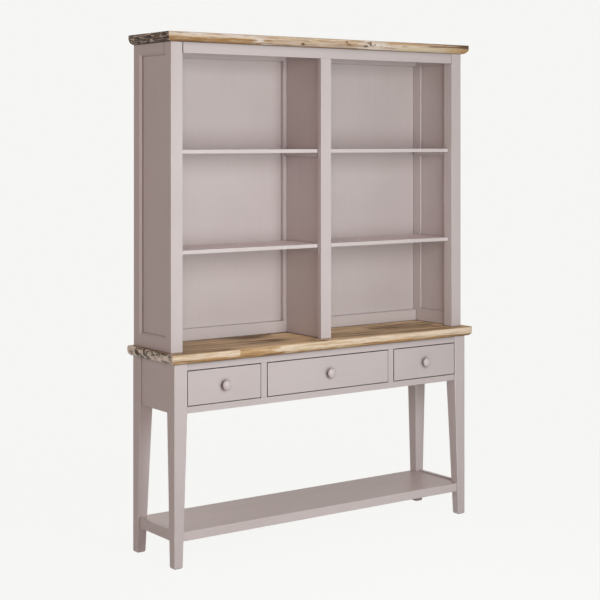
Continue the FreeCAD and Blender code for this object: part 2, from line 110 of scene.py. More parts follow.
class HardwoodSettings(bpy.types.PropertyGroup):
    """The wooden table top and cornice."""

    dark: bpy.props.FloatVectorProperty(
        name="Dark streaks", description="Colour of the darkest grain and of the knots",
        subtype="COLOR", size=3, min=0, max=1, default=(0.085, 0.045, 0.025))
    brown: bpy.props.FloatVectorProperty(
        name="Brown wood", description="Colour of the brown grain",
        subtype="COLOR", size=3, min=0, max=1, default=(0.26, 0.145, 0.062))
    golden: bpy.props.FloatVectorProperty(
        name="Golden wood", description="Colour of the golden grain",
        subtype="COLOR", size=3, min=0, max=1, default=(0.50, 0.29, 0.115))
    pale: bpy.props.FloatVectorProperty(
        name="Pale wood", description="Colour of the palest grain",
        subtype="COLOR", size=3, min=0, max=1, default=(0.68, 0.54, 0.36))
    tan: bpy.props.FloatVectorProperty(
        name="Upper face", description="Middle tone of the table top's worn upper face",
        subtype="COLOR", size=3, min=0, max=1, default=(0.62, 0.435, 0.25))
    limed: bpy.props.FloatVectorProperty(
        name="Limed edges", description="Colour of the limed finish on the flat of the edges",
        subtype="COLOR", size=3, min=0, max=1, default=(0.80, 0.655, 0.505))
    plank_width: bpy.props.FloatProperty(
        name="Plank width", description="Width of the planks glued up into the table top",
        subtype="DISTANCE", unit="LENGTH", min=0.02, max=0.3, default=0.0682)
    joint_depth: bpy.props.FloatProperty(
        name="Plank joint depth", description="Depth of the fine joint between two planks",
        subtype="DISTANCE", unit="LENGTH", min=0, max=0.002, default=0.0004)
    wear_depth: bpy.props.FloatProperty(
        name="Edge wear", description="How far the hand-worn edges stand back from their true line",
        subtype="DISTANCE", unit="LENGTH", min=0, max=0.003, default=0.0007)
    top_ease: bpy.props.FloatProperty(
        name="Top's eased edge", description="Radius of the rounding along the table top's upper edge",
        subtype="DISTANCE", unit="LENGTH", min=0.001, max=0.015, default=0.008)
    top_ovolo: bpy.props.FloatProperty(
        name="Top's ovolo", description="Radius of the quarter round under the table top's edge",
        subtype="DISTANCE", unit="LENGTH", min=0.001, max=0.03, default=0.024)
    top_corner: bpy.props.FloatProperty(
        name="Top's corner", description="Radius of the table top's front corners, seen from above",
        subtype="DISTANCE", unit="LENGTH", min=0.001, max=0.05, default=0.012)
    cornice_ease: bpy.props.FloatProperty(
        name="Cornice's eased edge", description="Radius of the rounding along the cornice's upper edge",
        subtype="DISTANCE", unit="LENGTH", min=0.001, max=0.01, default=0.003)
    cornice_ovolo: bpy.props.FloatProperty(
        name="Cornice's ovolo", description="Radius of the quarter round under the cornice's edge",
        subtype="DISTANCE", unit="LENGTH", min=0.001, max=0.03, default=0.025)
    cornice_corner: bpy.props.FloatProperty(
        name="Cornice's corner", description="Radius of the cornice's front corners, seen from above",
        subtype="DISTANCE", unit="LENGTH", min=0.001, max=0.05, default=0.004)


class BareSettings(bpy.types.PropertyGroup):
    """The unpainted wood and the steel inside."""

    box_wood: bpy.props.FloatVectorProperty(
        name="Drawer box wood", description="Colour of the bare wood of the drawer boxes and runners",
        subtype="COLOR", size=3, min=0, max=1, default=(0.62, 0.48, 0.32))
    dowel_wood: bpy.props.FloatVectorProperty(
        name="Dowel wood", description="Colour of the dowels",
        subtype="COLOR", size=3, min=0, max=1, default=(0.66, 0.52, 0.36))
    steel: bpy.props.FloatVectorProperty(
        name="Steel", description="Colour of the zinc-plated screws",
        subtype="COLOR", size=3, min=0, max=1, default=(0.55, 0.55, 0.56))


class StudioSettings(bpy.types.PropertyGroup):
    """The floor, the light and the camera."""

    backdrop: bpy.props.FloatVectorProperty(
        name="Backdrop", description="Colour of the floor and the backdrop as the camera sees them",
        subtype="COLOR", size=3, min=0, max=1, default=(0.921, 0.921, 0.904))
    shadow_share: bpy.props.FloatProperty(
        name="Floor shadow", description="How much of the floor's own light and shadow shows",
        subtype="FACTOR", min=0, max=1, default=0.05)
    ambient: bpy.props.FloatVectorProperty(
        name="Ambient light", description="Colour of the light from all round",
        subtype="COLOR", size=3, min=0, max=1, default=(0.135, 0.09, 0.085))
    key_colour: bpy.props.FloatVectorProperty(
        name="Front light", description="Colour of the softbox in front",
        subtype="COLOR", size=3, min=0, max=1, default=(0.876, 0.98, 1.0))
    key_power: bpy.props.FloatProperty(
        name="Front power", description="Power of the softbox in front",
        subtype="POWER", unit="POWER", min=0, max=1000, default=43.1)
    fill_colour: bpy.props.FloatVectorProperty(
        name="Camera side light", description="Colour of the softbox beside the camera",
        subtype="COLOR", size=3, min=0, max=1, default=(1.0, 0.76, 0.785))
    fill_power: bpy.props.FloatProperty(
        name="Camera side power", description="Power of the softbox beside the camera",
        subtype="POWER", unit="POWER", min=0, max=1000, default=49.0)
    side_colour: bpy.props.FloatVectorProperty(
        name="End light", description="Colour of the softboxes at both ends and behind",
        subtype="COLOR", size=3, min=0, max=1, default=(1.0, 0.93, 0.85))
    side_power: bpy.props.FloatProperty(
        name="End power", description="Power of the softbox at the left end",
        subtype="POWER", unit="POWER", min=0, max=1000, default=22.5)
    right_power: bpy.props.FloatProperty(
        name="Right end power", description="Power of the softbox at the right end",
        subtype="POWER", unit="POWER", min=0, max=1000, default=22.0)
    back_power: bpy.props.FloatProperty(
        name="Back power", description="Power of the softbox behind",
        subtype="POWER", unit="POWER", min=0, max=1000, default=28.0)
    lens: bpy.props.FloatProperty(
        name="Lens", description="Focal length on a 36 mm wide sensor",
        subtype="DISTANCE_CAMERA", min=10, max=500, default=88.4046)


class ConsoleSettings(bpy.types.PropertyGroup):
    """Everything that a user would change."""

    paint: bpy.props.PointerProperty(type=PaintSettings, name="Paint", description="The painted finish")
    hardwood: bpy.props.PointerProperty(
        type=HardwoodSettings, name="Hardwood", description="The wooden table top and cornice")
    bare: bpy.props.PointerProperty(
        type=BareSettings, name="Bare wood and steel", description="The unpainted wood and the steel inside")
    studio: bpy.props.PointerProperty(
        type=StudioSettings, name="Studio", description="The floor, the light and the camera")


# Node building
node_spacing = 220


def put(tree, kind, inputs, **settings):
    """Add a shader node, with each input set to a value or joined to another node's output."""
    node = tree.nodes.new("ShaderNode" + kind)
    for name, value in settings.items():
        setattr(node, name, value)
    for key, value in inputs.items():
        if isinstance(value, bpy.types.NodeSocket):
            tree.links.new(value, node.inputs[key])
        else:
            node.inputs[key].default_value = value
    return node


def arithmetic(tree, operation, first, second=0.0):
    """Result of one operation on one or two numbers."""
    return put(tree, "Math", {0: first, 1: second}, operation=operation).outputs[0]


def ranged(tree, value, low, high, to_low=0.0, to_high=1.0):
    """Number moved smoothly from one range to another, and held at its ends."""
    inputs = {"Value": value, "From Min": low, "From Max": high, "To Min": to_low, "To Max": to_high}
    return put(tree, "MapRange", inputs, interpolation_type="SMOOTHSTEP").outputs[0]


def product(tree, first, *others):
    """Product of two or more numbers."""
    for other in others:
        first = arithmetic(tree, "MULTIPLY", first, other)
    return first


def total(tree, first, second):
    """Sum of two numbers."""
    return arithmetic(tree, "ADD", first, second)


def weighted(tree, first, first_share, second, second_share):
    """Sum of two numbers, each times its share."""
    return total(tree, product(tree, first, first_share), product(tree, second, second_share))


def split(tree, vector):
    """The three numbers of a vector."""
    return put(tree, "SeparateXYZ", {0: vector}).outputs


def stretched(tree, vector, scale):
    """Coordinates multiplied along each axis."""
    return put(tree, "VectorMath", {0: vector, 1: scale}, operation="MULTIPLY").outputs[0]


def shifted(tree, vector, offset):
    """Coordinates moved by another vector."""
    return put(tree, "VectorMath", {0: vector, 1: offset}, operation="ADD").outputs[0]


def cloud(tree, places, cells, detail=3.0, roughness=0.5, distortion=0.0):
    """Soft noise between 0 and 1, with its cells to a metre along each axis."""
    vector = stretched(tree, places, cells)
    inputs = {
        "Vector": vector, "Scale": 1.0, "Detail": detail, "Roughness": roughness, "Distortion": distortion,
    }
    return put(tree, "TexNoise", inputs).outputs["Fac"]


def within(tree, value, low, high, soft):
    """1 between two values, fading softly at both."""
    rising = ranged(tree, value, low - soft, low + soft)
    return product(tree, rising, ranged(tree, value, high + soft, high - soft))


def wavering(tree, value, waves, reach):
    """Number moved up and down by soft noise, as far as its reach."""
    return total(tree, value, ranged(tree, waves, 0.3, 0.7, -reach, reach))


def mixed(tree, share, first, second):
    """Colour between two colours."""
    node = put(tree, "Mix", {0: share}, data_type="RGBA")
    for socket, value in ((node.inputs[6], first), (node.inputs[7], second)):
        if isinstance(value, bpy.types.NodeSocket):
            tree.links.new(value, socket)
        else:
            socket.default_value = (*value[:3], 1)
    return node.outputs[2]


def ramped(tree, value, stops):
    """Colour picked along a row of stops."""
    node = put(tree, "ValToRGB", {"Fac": value})
    elements = node.color_ramp.elements
    while len(elements) < len(stops):
        elements.new(0.5)
    for element, (place, colour) in zip(elements, stops):
        element.position = place
        element.color = (*colour[:3], 1)
    return node.outputs["Color"]


def new_material(name):
    """Empty material with its shader and output in place."""
    old = bpy.data.materials.get(name)
    if old:
        bpy.data.materials.remove(old)
    material = bpy.data.materials.new(name)
    material.use_nodes = True
    tree = material.node_tree
    tree.nodes.clear()
    shader = put(tree, "BsdfPrincipled", {})
    put(tree, "OutputMaterial", {"Surface": shader.outputs[0]})
    return material, tree, shader


def object_places(tree):
    """Places and facing of the surface in the object's own frame, in metres."""
    return put(tree, "TexCoord", {}).outputs


def nearness(tree, distance):
    """1 in the open, and less in creases and beside other pieces."""
    return put(tree, "AmbientOcclusion", {"Distance": distance}, samples=6).outputs["AO"]


def relief(tree, shader, height, distance):
    """Raise the surface by a height from 0 to 1."""
    node = put(tree, "Bump", {"Height": height, "Distance": distance, "Strength": 1.0})
    tree.links.new(node.outputs[0], shader.inputs["Normal"])


def tidy_nodes(tree):
    """Set the nodes out in columns, from the output back."""
    depth = {}

    def follow(node, column):
        if depth.get(node.name, -1) >= column:
            return
        depth[node.name] = column
        for socket in node.inputs:
            for link in socket.links:
                follow(link.from_node, column + 1)

    for node in tree.nodes:
        if node.type in {"OUTPUT_MATERIAL", "OUTPUT_WORLD"}:
            follow(node, 0)
    rows = {}
    for node in tree.nodes:
        column = depth.get(node.name, 0)
        rows[column] = rows.get(column, 0) + 1
        node.location = (-column * node_spacing, -rows[column] * node_spacing)


# Paint: noise cells to a metre, and in metres the reach of the painted shade in creases and gaps and the fade
# of fine lines
stroke_cells_along = 3.0
stroke_cells_across = 70.0
bristle_fineness = 6
cloudy_cells = (3.1, 3.1, 3.1)
crease_shade_reach = 0.006
gap_shade_reach = 0.008
gap_margin = 0.005
line_fade = 0.0003
edge_fade = 0.0005


def paint_material(settings, name, grain, colour, painted_upper_shading=None, shadow_halo=0.0):
    """Satin paint, brushed on along the grain of the board, with painted light and shade: lighter or darker
    upper faces and a shadow halo where asked, shade in creases, a highlight on slanted edges, a shadow line
    at the side panels' feet, and shade in the drawer gaps and open joints.
    """
    material, tree, shader = new_material(name)
    surface = object_places(tree)
    places = surface["Object"]
    along, across = stroke_cells_along, stroke_cells_across
    cells = {
        "lengthwise": (along, across, across),
        "crosswise": (across, along, across),
        "upright": (across, across, along),
        "turned": (across, across, across),
    }[grain]
    brush = cloud(tree, places, cells, 4.0, 0.6, 0.4)
    bristles = cloud(tree, places, tuple(bristle_fineness * value for value in cells), 2.0)
    cloudy = cloud(tree, places, cloudy_cells)
    share = weighted(tree, brush, 0.35, cloudy, 0.65)
    parts = zip(colour, settings.worn_colour, settings.colour)
    thin = tuple(value * worn / plain for value, worn, plain in parts)
    tone = mixed(tree, ranged(tree, share, 0.36, 0.62), thin, colour)
    # Painted light and shade on upper faces, lighter or darker by the given factors
    if painted_upper_shading:
        rise = split(tree, surface["Normal"])[2]
        tone = mixed(tree, ranged(tree, rise, 0.5, 0.8), tone, stretched(tree, tone, painted_upper_shading))
    # Painted shade: darker in creases and beside other pieces
    tone = mixed(tree, ranged(tree, nearness(tree, crease_shade_reach), 0.35, 0.8), shade(colour, 0.4), tone)
    # Painted shadow near other pieces, such as round the knobs
    if shadow_halo:
        tone = mixed(tree, ranged(tree, nearness(tree, shadow_halo), 0.4, 1.0, 0.75, 0.0), tone, shade(colour, 0.35))
    if grain != "turned":
        # Painted highlight on the slanted edges, lighter where they face the light
        turn = split(tree, surface["Normal"])
        slant = product(tree, turn[0], turn[1])
        tone = mixed(tree, ranged(tree, slant, 0.15, 0.4), tone, settings.edge_colour)
        # Painted shadow line at the foot of the slanted edges round the side panels
        tone = mixed(tree, product(tree, panel_foot_shadow(tree, surface), 0.8), tone, shade(colour, 0.2))
        # Painted shade in the gaps round the shut drawers and in the open joints
        tone = mixed(tree, gap_wall_shade(tree, surface), tone, settings.gap_shade_colour)
        tone = mixed(tree, open_joint_shade(tree, surface), tone, settings.gap_shade_colour)
    tree.links.new(tone, shader.inputs["Base Color"])
    rough = settings.sheen_roughness - (0.1 if grain == "turned" else 0.0)
    tree.links.new(ranged(tree, brush, 0.2, 0.8, rough + 0.06, rough - 0.04), shader.inputs["Roughness"])
    relief(tree, shader, total(tree, brush, product(tree, bristles, 0.35)), settings.brush_depth)
    tidy_nodes(tree)
    return material


def shade(colour, share):
    """Lighter or darker mix of a colour."""
    return tuple(min(1.0, value * share) for value in colour)


def soften(nodes, width):
    """Soft edge that the paint leaves on the boards, which also opens fine lines where they meet."""
    for node in nodes:
        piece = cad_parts[node]
        for old in [modifier for modifier in piece.modifiers if modifier.name.startswith("paint_")]:
            piece.modifiers.remove(old)
        weld = piece.modifiers.new("paint_weld", "WELD")
        weld.merge_threshold = 0.00001
        edge = piece.modifiers.new("paint_edge", "BEVEL")
        edge.width = width
        edge.segments = 2
        edge.limit_method = "ANGLE"
        edge.angle_limit = math.radians(40)
        edge.use_clamp_overlap = True
        edge.harden_normals = False


def around(middle, half):
    """Range with a middle and half a width."""
    return middle - half, middle + half


def open_joint_shade(tree, surface):
    """1 along the fine open joints between the hutch's posts and its top rails, which get painted shade."""
    place = split(tree, surface["Object"])
    left_low, left_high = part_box("hutch_post_left")
    right_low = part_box("hutch_post_right")[0]
    rail_low, rail_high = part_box("hutch_top_rail")
    side_low, side_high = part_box("side_top_rail_left")
    face = (left_low.y - 0.001, left_low.y + 0.008)
    side = (left_low.x - 0.001, left_low.x + 0.003)
    joints = [
        (around(left_high.x, 0.0021), face, (rail_low.z, rail_high.z)),
        (around(right_low.x, 0.0005), face, (rail_low.z, rail_high.z)),
        (side, around(left_high.y, 0.0012), (side_low.z, side_high.z)),
    ]
    lines = 0.0
    for joint in joints:
        spans = [within(tree, place[axis], low, high, line_fade) for axis, (low, high) in enumerate(joint)]
        lines = arithmetic(tree, "MAXIMUM", lines, product(tree, *spans))
    return lines


def panel_foot_shadow(tree, surface):
    """1 along the painted shadow line at the foot of the slanted edges, where the side panels sit in their
    frames.
    """
    x, y, z = split(tree, surface["Object"])
    face = -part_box("side_panel_left")[0].x
    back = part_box("side_stile_left")[0].y
    low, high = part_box("side_bottom_rail_left")[1].z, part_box("side_top_rail_left")[0].z
    level = within(tree, arithmetic(tree, "ABSOLUTE", x), *around(face, 0.001), line_fade)
    beside_stile = within(tree, y, back - 0.004, back + 0.001, edge_fade)
    upright = product(tree, beside_stile, within(tree, z, low - 0.001, high + 0.001, edge_fade))
    lower = product(tree, within(tree, z, low - 0.001, low + 0.003, edge_fade), 0.4)
    upper = product(tree, within(tree, z, high - 0.004, high + 0.001, edge_fade), 0.4)
    lines = arithmetic(tree, "MAXIMUM", upright, arithmetic(tree, "MAXIMUM", lower, upper))
    return product(tree, level, lines)


def gap_wall_shade(tree, surface):
    """1 on the walls of the narrow gaps round the drawer fronts, where the drawers are shut, for painted
    shade.
    """
    x, y, z = split(tree, surface["Object"])
    turn = split(tree, surface["Normal"])
    low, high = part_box("drawer_middle_front")
    left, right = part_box("drawer_left_front")[0].x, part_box("drawer_right_front")[1].x
    return product(
        tree,
        within(tree, x, left - gap_margin, right + gap_margin, edge_fade),
        within(tree, y, low.y + 0.0026, high.y + 0.02, 0.0004),
        within(tree, z, low.z - gap_margin, high.z + gap_margin, edge_fade),
        ranged(tree, arithmetic(tree, "ABSOLUTE", turn[1]), 0.6, 0.4),
        ranged(tree, nearness(tree, gap_shade_reach), 0.9, 0.65),
    )


# Hardwood grain: cells to a metre along, across and through a plank, then detail, roughness and distortion
grain_kinds = {
    "figure": ((5.5, 15.0, 90.0), 3.0, 0.55, 0.7),
    "streaks": ((11.0, 60.0, 180.0), 4.0, 0.65, 0.3),
    "cracks": ((14.0, 90.0, 260.0), 2.0, 0.6, 0.2),
    "pores": ((30.0, 900.0, 900.0), 2.0, 0.5, 0.0),
    "bands": ((2.2, 32.0, 32.0), 4.0, 0.6, 0.4),
    "lines": ((7.0, 190.0, 190.0), 3.0, 0.6, 0.2),
    "lime_end": ((5.0, 5.0, 5.0), 2.0, 0.5, 0.0),
    "lime_patches": ((4.0, 60.0, 90.0), 3.0, 0.55, 0.6),
    "fleck": ((150.0, 150.0, 220.0), 3.0, 0.5, 0.0),
}
staves_to_a_metre = 1.3
stave_shift = (9.0, 9.0, 9.0)
stave_tone = 0.06
# Reach of the painted shadow where other pieces stand on the wood, in metres
contact_shade_reach = 0.03
pore_depth = 0.00025


def grained(tree, places, kind):
    """Soft noise of one kind of grain."""
    return cloud(tree, places, *grain_kinds[kind])


def staves(tree, x, y, plank_width):
    """Random colour and number for each stave of each plank across the depth."""
    plank = arithmetic(tree, "FLOOR", arithmetic(tree, "DIVIDE", y, plank_width))
    start = put(tree, "TexWhiteNoise", {"W": plank}, noise_dimensions="1D").outputs["Value"]
    stave = arithmetic(tree, "FLOOR", total(tree, product(tree, x, staves_to_a_metre), start))
    key = put(tree, "CombineXYZ", {0: plank, 1: stave}).outputs[0]
    return put(tree, "TexWhiteNoise", {"Vector": key}, noise_dimensions="3D").outputs


def limed_share(tree, surface, figure, streaks, look):
    """How much limed finish there is, most of it on the flat of the edges."""
    places = surface["Object"]
    x, _, z = split(tree, places)
    rise = split(tree, surface["Normal"])[2]
    level = wavering(tree, rise, grained(tree, places, "lime_end"), look["lime_wander"])
    for start, end, drop in look["lime_drops"]:
        length = within(tree, wavering(tree, x, streaks, 0.06), start, end, 0.01)
        level = total(tree, level, product(tree, length, drop))
    flat = product(tree, ranged(tree, level, *around(look["lime_low"], 0.02)), ranged(tree, rise, 0.85, 0.45))
    patches = grained(tree, places, "lime_patches")
    lime = product(tree, flat, ranged(tree, patches, 0.34, 0.56, look["lime_least"], look["lime_most"]))
    for start, end, keep, blur, slope in look["bare_lengths"]:
        ragged = wavering(tree, x, figure, blur)
        first = ranged(tree, x if look["crisp_start"] else ragged, start, start + look["bare_blend"])
        bare = product(tree, first, ranged(tree, ragged, end, end - blur))
        if slope:
            line = wavering(tree, total(tree, z, product(tree, x, slope)), figure, 0.006)
            top_line = look["upper_z"] + slope * start
            bare = product(tree, bare, ranged(tree, line, top_line + 0.003, top_line - 0.006, 0.78, 1.0))
        lime = product(tree, lime, ranged(tree, bare, 0.0, 1.0, 1.0, keep))
    return lime


# The tables of a look, in metres: bare_lengths hold start, end, lime kept, blur and slope,
# lime_drops start, end and drop, streaks start, end, bottom, top, colour and share,
# patches start, end, front, back, colour and share, and knots middle, size, stretch and share
def hardwood_material(name, settings, look):
    """Streaky hardwood planks with limed edges, weathered ends and a few knots, with painted shade on the
    undersides and where other pieces stand on it.
    """
    material, tree, shader = new_material(name)
    surface = object_places(tree)
    places = surface["Object"]
    x, y, z = split(tree, places)
    turn = split(tree, surface["Normal"])
    upper = ranged(tree, turn[2], 0.6, 0.9)

    # Grain along the planks, with a place and a tone of its own in every stave of the upper face
    stave = staves(tree, x, y, settings.plank_width)
    moved = shifted(tree, places, stretched(tree, stave["Color"], stave_shift))
    along = put(tree, "Mix", {0: upper, 4: places, 5: moved}, data_type="VECTOR").outputs[1]
    figure = grained(tree, along, "figure")
    streaks = grained(tree, along, "streaks")
    tone = product(tree, upper, ranged(tree, stave["Value"], 0.0, 1.0, -stave_tone, stave_tone))
    edge_grain = total(tree, weighted(tree, figure, 0.6, streaks, 0.4), tone)
    edge_colour = ramped(tree, edge_grain, [
        (0.42, settings.brown), (0.47, settings.golden), (0.51, settings.golden), (0.57, settings.pale)])
    bands, lines = grained(tree, along, "bands"), grained(tree, along, "lines")
    top_grain = total(tree, weighted(tree, bands, 0.6, lines, 0.4), tone)
    top_colour = ramped(tree, top_grain, [
        (0.35, settings.dark), (0.41, settings.brown), (0.46, shade(settings.tan, 0.78)),
        (0.51, settings.tan), (0.56, shade(settings.tan, 1.45))])
    colour = mixed(tree, upper, edge_colour, top_colour)
    # Painted shade: browner where the ovolo faces down
    colour = mixed(tree, ranged(tree, turn[2], -0.2, -0.35, 0.0, look["ovolo_shade"]), colour, settings.brown)
    # Painted shadow line: dark brown along the underside
    colour = mixed(tree, ranged(tree, turn[2], -0.72, -0.88, 0.0, 0.75), colour, settings.brown)
    # Patches on the upper face; the lighter ones inside the hutch's bays are painted light
    for start, end, front, back, tint, share in look["patches"]:
        length, width = within(tree, x, start, end, 0.05), within(tree, y, front, back, 0.01)
        colour = mixed(tree, product(tree, length, width, upper, share), colour, tint)

    # Limed finish, and fine cracks through it
    limed = mixed(tree, ranged(tree, streaks, 0.40, 0.56), look["limed_thin"], look["limed"])
    colour = mixed(tree, limed_share(tree, surface, figure, streaks, look), colour, limed)
    cracks = grained(tree, along, "cracks")
    colour = mixed(tree, ranged(tree, cracks, 0.57, 0.65, 0.0, look["cracks"]), colour, settings.brown)

    # Streaks along the edges
    height = wavering(tree, z, figure, 0.003)
    for start, end, bottom, top, tint, share in look["streaks"]:
        length, line = within(tree, x, start, end, 0.03), within(tree, height, bottom, top, 0.0015)
        colour = mixed(tree, product(tree, length, line, share), colour, tint)

    # Painted shadow lines where other pieces stand on it
    contact_shade = ranged(tree, nearness(tree, contact_shade_reach), 0.88, 0.55, 0.0, 0.85)
    colour = mixed(tree, contact_shade, colour, settings.dark)

    # End grain, weathered
    sideways, forwards = (arithmetic(tree, "ABSOLUTE", turn[axis]) for axis in (0, 1))
    end_face = ranged(tree, arithmetic(tree, "SUBTRACT", sideways, forwards), 0.05, 0.2)
    mottle = cloud(tree, places, look["mottle_cells"], 5.0, 0.62, look["mottle_swirl"])
    mottle = wavering(tree, mottle, grained(tree, places, "fleck"), 0.05)
    colour = mixed(tree, end_face, colour, ramped(tree, mottle, look["end_colours"]))

    # Knots
    for centre, size, stretch, share in look["knots"]:
        away = stretched(tree, shifted(tree, places, tuple(-value for value in centre)), stretch)
        away = put(tree, "VectorMath", {0: away}, operation="LENGTH").outputs[1]
        wobble = product(tree, arithmetic(tree, "SUBTRACT", mottle, 0.5), size * 1.6)
        spot = ranged(tree, total(tree, away, wobble), size, size * 0.35, 0.0, share)
        colour = mixed(tree, spot, colour, settings.dark)

    tree.links.new(colour, shader.inputs["Base Color"])
    tree.links.new(ranged(tree, streaks, 0.2, 0.8, 0.62, 0.48), shader.inputs["Roughness"])
    shader.inputs["Specular IOR Level"].default_value = 0.2
    pores = grained(tree, along, "pores")
    relief(tree, shader, total(tree, streaks, product(tree, pores, 0.4)), pore_depth)
    tidy_nodes(tree)
    return material


# Inner finishes
def bare_wood_material(name, colour, grain):
    """Plain planed wood with a fine grain."""
    material, tree, shader = new_material(name)
    places = object_places(tree)["Object"]
    cells = {"lengthwise": (4, 90, 90), "crosswise": (90, 4, 90), "upright": (90, 90, 4)}[grain]
    figure = cloud(tree, places, cells, 4.0, 0.6, 0.8)
    lines = cloud(tree, places, tuple(5 * value for value in cells), 2.0)
    darker = shade(colour, 0.72)
    share = weighted(tree, figure, 0.7, lines, 0.3)
    tree.links.new(mixed(tree, ranged(tree, share, 0.32, 0.66), darker, colour), shader.inputs["Base Color"])
    tree.links.new(ranged(tree, lines, 0.2, 0.8, 0.68, 0.56), shader.inputs["Roughness"])
    relief(tree, shader, share, 0.0002)
    tidy_nodes(tree)
    return material


def steel_material(colour):
    """Zinc-plated steel with fine scratches."""
    material, tree, shader = new_material("zinc_steel")
    places = object_places(tree)["Object"]
    bloom = cloud(tree, places, (240.0, 240.0, 240.0))
    scratches = cloud(tree, places, (900.0, 120.0, 900.0))
    darker = shade(colour, 0.8)
    tree.links.new(mixed(tree, bloom, darker, colour), shader.inputs["Base Color"])
    tree.links.new(ranged(tree, scratches, 0.2, 0.8, 0.28, 0.46), shader.inputs["Roughness"])
    shader.inputs["Metallic"].default_value = 1.0
    relief(tree, shader, scratches, 0.00005)
    tidy_nodes(tree)
    return material


def new_object(name, data):
    """Object in the scene, instead of an earlier one of its name."""
    old = bpy.data.objects.get(name)
    if old:
        bpy.data.objects.remove(old)
    piece = bpy.data.objects.new(name, data)
    bpy.context.scene.collection.objects.link(piece)
    return piece


def dress(nodes, material):
    """Give CAD nodes a finish."""
    for node in nodes:
        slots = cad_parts[node].material_slots
        if not slots:
            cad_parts[node].data.materials.append(material)
        for slot in slots:
            slot.material = material


# Wooden boards, with the cells to a metre of the wear along and up their edges
wear_along = 9
wear_up = 30


def quarter_round(radius, steps):
    """Pairs of inset and drop along a quarter circle, from its foot to its top."""
    angles = [math.pi / 2 * step / steps for step in range(steps + 1)]
    return [(radius * (1 - math.cos(angle)), radius * (1 - math.sin(angle))) for angle in angles]


def edge_profile(low, high, ease, ovolo, steps=10):
    """Pairs of inset and height up a moulded edge, from under the ovolo to the top."""
    under = [(inset, low + drop) for inset, drop in reversed(quarter_round(ovolo, steps))]
    return under + [(inset, high - drop) for inset, drop in quarter_round(ease, steps)]


def front_outline(low, high, corner, spacing=0.012, steps=8):
    """Points seen from above, from the back left corner round the front to the back right corner."""
    left = []
    count = round((high.y - low.y - corner) / spacing)
    for step in range(count):
        left.append((low.x, high.y + (low.y + corner - high.y) * step / count))
    left += [(low.x + inset, low.y + drop) for inset, drop in quarter_round(corner, steps)]
    right = [(low.x + high.x - x, y) for x, y in reversed(left)]
    start, end = left[-1][0], right[0][0]
    count = round((end - start) / spacing)
    front = [(start + (end - start) * step / count, low.y) for step in range(1, count)]
    return left + front + right


def moulded_board(name, node, ease, ovolo, corner, wear, joints, joint_depth):
    """Board in the node's place, with a moulded and worn front and ends and fine joints between planks."""
    low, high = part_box(node)
    board = bmesh.new()
    rings = []
    for inset, z in edge_profile(low.z, high.z, ease, ovolo):
        ring = []
        for x, y in front_outline(low, high, corner):
            spot = Vector((x * wear_along, y * wear_along, z * wear_up))
            worn = min(inset + wear * max(0.0, noise.noise(spot)), inset + wear)
            place = (min(max(x, low.x + worn), high.x - worn), max(y, low.y + worn), z)
            ring.append(board.verts.new(place))
        rings.append(ring)
    for lower, upper in zip(rings, rings[1:]):
        for a, b, c, d in zip(lower, lower[1:], upper[1:], upper):
            board.faces.new((a, b, c, d))
        board.faces.new((lower[-1], lower[0], upper[0], upper[-1]))
    board.faces.new(list(reversed(rings[0])))
    board.faces.new(rings[-1])
    bmesh.ops.remove_doubles(board, verts=board.verts, dist=1e-6)
    board.normal_update()
    half = joint_depth * 1.5
    for joint in joints:
        for offset in (-half, 0, half):
            faces = [face for face in board.faces if face.normal.z > 0.999]
            geometry = list({item for face in faces for item in (face, *face.edges, *face.verts)})
            bmesh.ops.bisect_plane(
                board, geom=geometry, plane_co=(0, joint + offset, 0), plane_no=(0, 1, 0), dist=1e-7)
        for vert in board.verts:
            if abs(vert.co.y - joint) < 1e-6 and vert.co.z > high.z - 1e-6:
                vert.co.z -= joint_depth
    bmesh.ops.recalc_face_normals(board, faces=board.faces)
    for face in board.faces:
        face.smooth = True
    mesh = bpy.data.meshes.new(name)
    board.to_mesh(mesh)
    board.free()
    mesh.set_sharp_from_angle(angle=math.radians(35))
    piece = new_object(name, mesh)
    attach(piece, main_body)
    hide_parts(node)
    return piece


# Operators
class CONSOLE_OT_table_frame(bpy.types.Operator):
    """Paint the legs, rails, aprons and low shelf of the table"""

    bl_idname = "console_hutch.table_frame"
    bl_label = "Paint the table frame"

    def execute(self, context):
        paint = context.scene.console_hutch.paint
        dress(table_upright, paint_material(paint, "paint_upright", "upright", paint.colour))
        dress(table_lengthwise, paint_material(paint, "paint_lengthwise", "lengthwise", paint.colour))
        dress(table_crosswise, paint_material(paint, "paint_crosswise", "crosswise", paint.colour))
        # A little darker than the paint: painted shade on the frieze, drawer fronts and hutch top rail, with
        # a painted shadow near other pieces
        frieze = paint_material(paint, "paint_frieze", "lengthwise", shade(paint.colour, 0.96), shadow_halo=0.02)
        dress(frieze_boards, frieze)
        # Lighter than the paint, with a darker upper face: painted light on the shelf's edge and painted
        # shade on its top
        low_shelf = paint_material(
            paint, "paint_low_shelf", "lengthwise", shade(paint.colour, 1.07), (0.815, 0.755, 0.755))
        dress(["lower_shelf_board"], low_shelf)
        boards = table_upright + table_lengthwise + table_crosswise + frieze_boards + ["lower_shelf_board"]
        soften(boards, paint.softness)
        return {"FINISHED"}


class CONSOLE_OT_hutch_frame(bpy.types.Operator):
    """Paint the posts, rails, sides, back and divider of the hutch"""

    bl_idname = "console_hutch.hutch_frame"
    bl_label = "Paint the hutch frame"

    def execute(self, context):
        dress(hutch_upright, bpy.data.materials["paint_upright"])
        dress(hutch_lengthwise, bpy.data.materials["paint_lengthwise"])
        dress(["hutch_top_rail"], bpy.data.materials["paint_frieze"])
        dress(hutch_crosswise, bpy.data.materials["paint_crosswise"])
        boards = hutch_upright + hutch_lengthwise + hutch_crosswise + ["hutch_top_rail"]
        soften(boards, context.scene.console_hutch.paint.softness)
        return {"FINISHED"}


